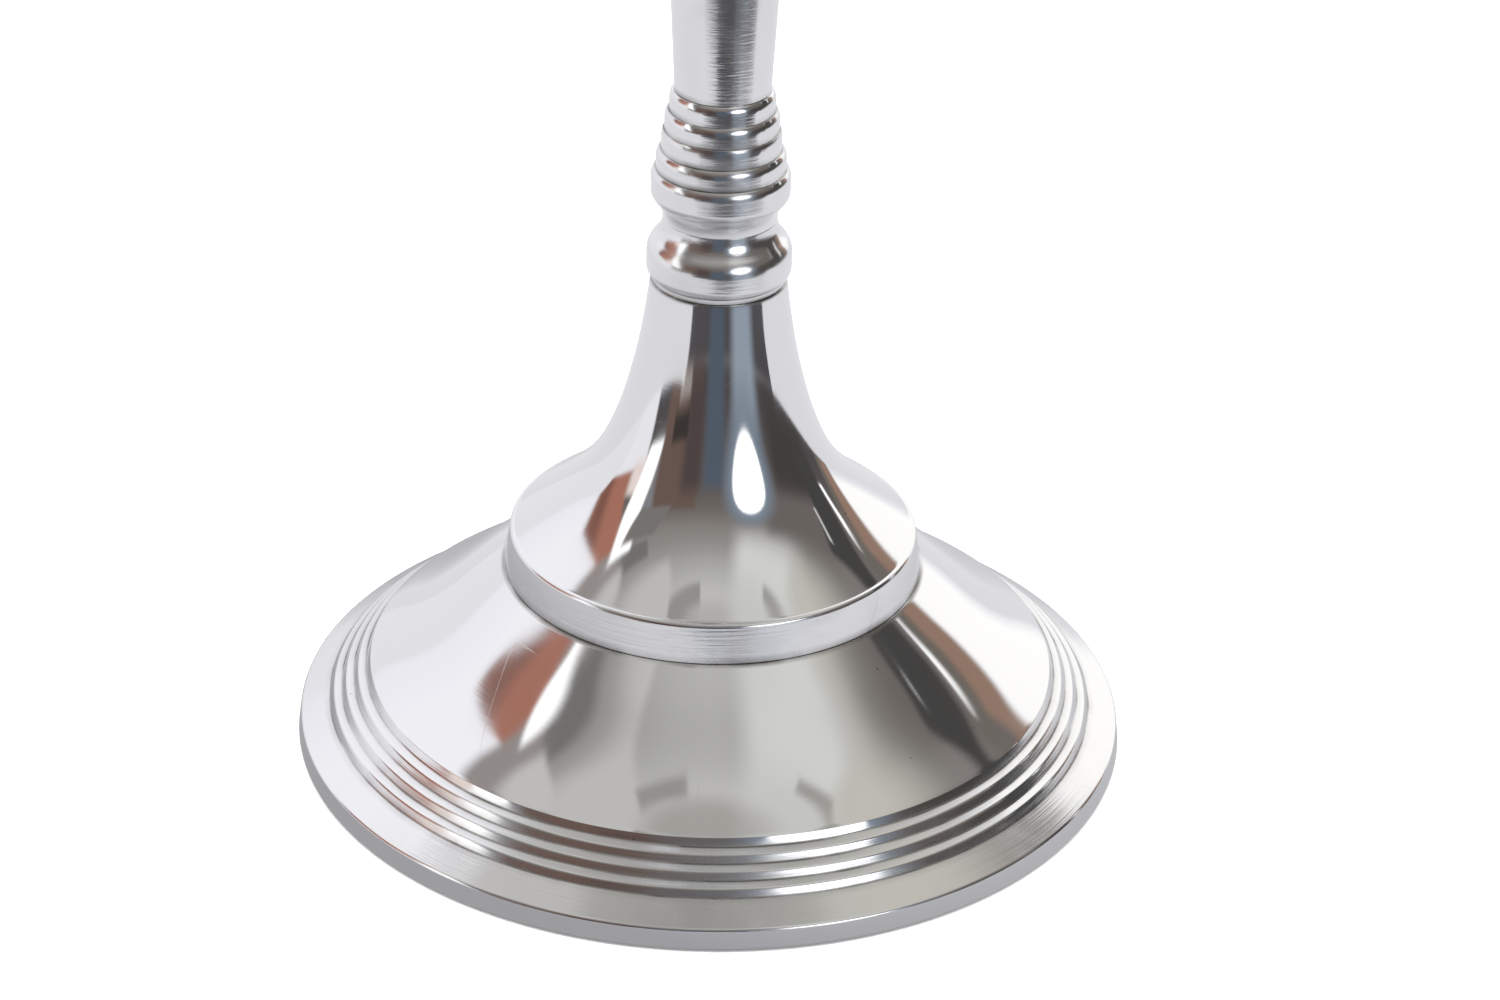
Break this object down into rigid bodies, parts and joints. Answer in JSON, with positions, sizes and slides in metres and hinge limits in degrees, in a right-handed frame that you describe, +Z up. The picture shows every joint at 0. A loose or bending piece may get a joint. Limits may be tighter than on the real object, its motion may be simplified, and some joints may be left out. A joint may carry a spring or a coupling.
{
  "type": "altar candlestick",
  "caption": "Tall polished aluminium altar candlestick: stepped round foot, trumpet bell, ringed knop, flared shaft, lift-off drip pan and candle nozzle.",
  "frame": {"origin": "on the stick's axis, in the plane that the felt under the rim stands on", "axes": "+Z up along the stick's axis; the stick is round, so X and Y are free"},
  "size_m": [0.23, 0.23, 0.5303],
  "materials": {
    "cast_aluminium": "turned and mirror polished casting",
    "spun_aluminium": "spun and polished",
    "zinc_plated_steel": "bright zinc plated",
    "felt": "pressed wool felt"
  },
  "bodies": {
    "stand": {"felt_ring": "felt", "foot_dish": "cast_aluminium", "clamp_plate": "zinc_plated_steel", "wide_washer": "zinc_plated_steel", "spring_washer": "zinc_plated_steel", "foot_nut": "zinc_plated_steel", "tie_rod": "zinc_plated_steel", "foot_bell": "cast_aluminium", "lower_collar": "cast_aluminium", "lower_knop": "cast_aluminium", "stem_shaft": "cast_aluminium", "head_knop": "cast_aluminium", "head_collar": "cast_aluminium", "pan_seat": "cast_aluminium", "candle_socket": "cast_aluminium", "top_washer": "zinc_plated_steel", "top_nut": "zinc_plated_steel"},
    "drip_pan": {"drip_pan": "spun_aluminium"},
    "candle_nozzle": {"candle_nozzle": "spun_aluminium"}
  },
  "joints": [
    {"name": "pan_lift", "type": "slide", "parent": "stand", "child": "drip_pan", "axis": [0, 0, 1], "range_m": [0, 0.08]},
    {"name": "nozzle_lift", "type": "slide", "parent": "stand", "child": "candle_nozzle", "axis": [0, 0, 1], "range_m": [0, 0.045]}
  ]
}
